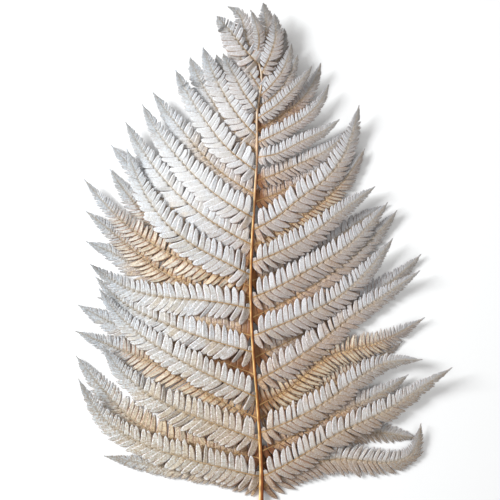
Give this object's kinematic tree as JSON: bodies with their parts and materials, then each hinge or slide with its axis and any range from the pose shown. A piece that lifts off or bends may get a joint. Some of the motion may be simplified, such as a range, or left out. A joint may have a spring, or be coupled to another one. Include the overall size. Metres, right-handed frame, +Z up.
{
  "type": "preserved fern leaf",
  "caption": "Bleached, dried fern frond for arrangements: a bare stalk that runs on as the midrib, feathery leaflets along both sides, and a small curled tip. It lies flat.",
  "frame": {"origin": "on the surface the frond lies on, under the middle of its outline", "axes": "+Z up out of the frond's upper face, +Y along the midrib from the cut stalk to the tip, +X to the frond's right seen from above with the tip up"},
  "size_m": [0.3718, 0.5493, 0.0302],
  "materials": {
    "stem": "dry plant stalk, caramel to red-brown, satin",
    "blade": "bleached dry leaf, cream with tan veins, matt"
  },
  "bodies": {
    "root": {"stalk_and_midrib": "stem", "pinna_left_01": "blade", "pinna_left_02": "blade", "pinna_left_03": "blade", "pinna_left_04": "blade", "pinna_left_05": "blade", "pinna_left_06": "blade", "pinna_left_07": "blade", "pinna_left_08": "blade", "pinna_left_09": "blade", "pinna_left_10": "blade", "pinna_left_11": "blade", "pinna_left_12": "blade", "pinna_left_13": "blade", "pinna_left_14": "blade", "pinna_left_15": "blade", "pinna_left_16": "blade", "pinna_left_17": "blade", "pinna_left_18": "blade", "pinna_left_19": "blade", "pinna_left_20": "blade", "pinna_left_21": "blade", "pinna_left_22": "blade", "pinna_left_23": "blade", "pinna_left_24": "blade", "pinna_left_25": "blade", "pinna_left_26": "blade", "pinna_left_27": "blade", "pinna_left_28": "blade", "pinna_right_01": "blade", "pinna_right_02": "blade", "pinna_right_03": "blade", "pinna_right_04": "blade", "pinna_right_05": "blade", "pinna_right_06": "blade", "pinna_right_07": "blade", "pinna_right_08": "blade", "pinna_right_09": "blade", "pinna_right_10": "blade", "pinna_right_11": "blade", "pinna_right_12": "blade", "pinna_right_13": "blade", "pinna_right_14": "blade", "pinna_right_15": "blade", "pinna_right_16": "blade", "pinna_right_17": "blade", "pinna_right_18": "blade", "pinna_right_19": "blade", "pinna_right_20": "blade", "pinna_right_21": "blade", "pinna_right_22": "blade", "pinna_right_23": "blade", "pinna_right_24": "blade", "pinna_right_25": "blade", "pinna_right_26": "blade", "pinna_right_27": "blade", "pinna_right_28": "blade", "tip_lobe": "blade"}
  },
  "joints": []
}
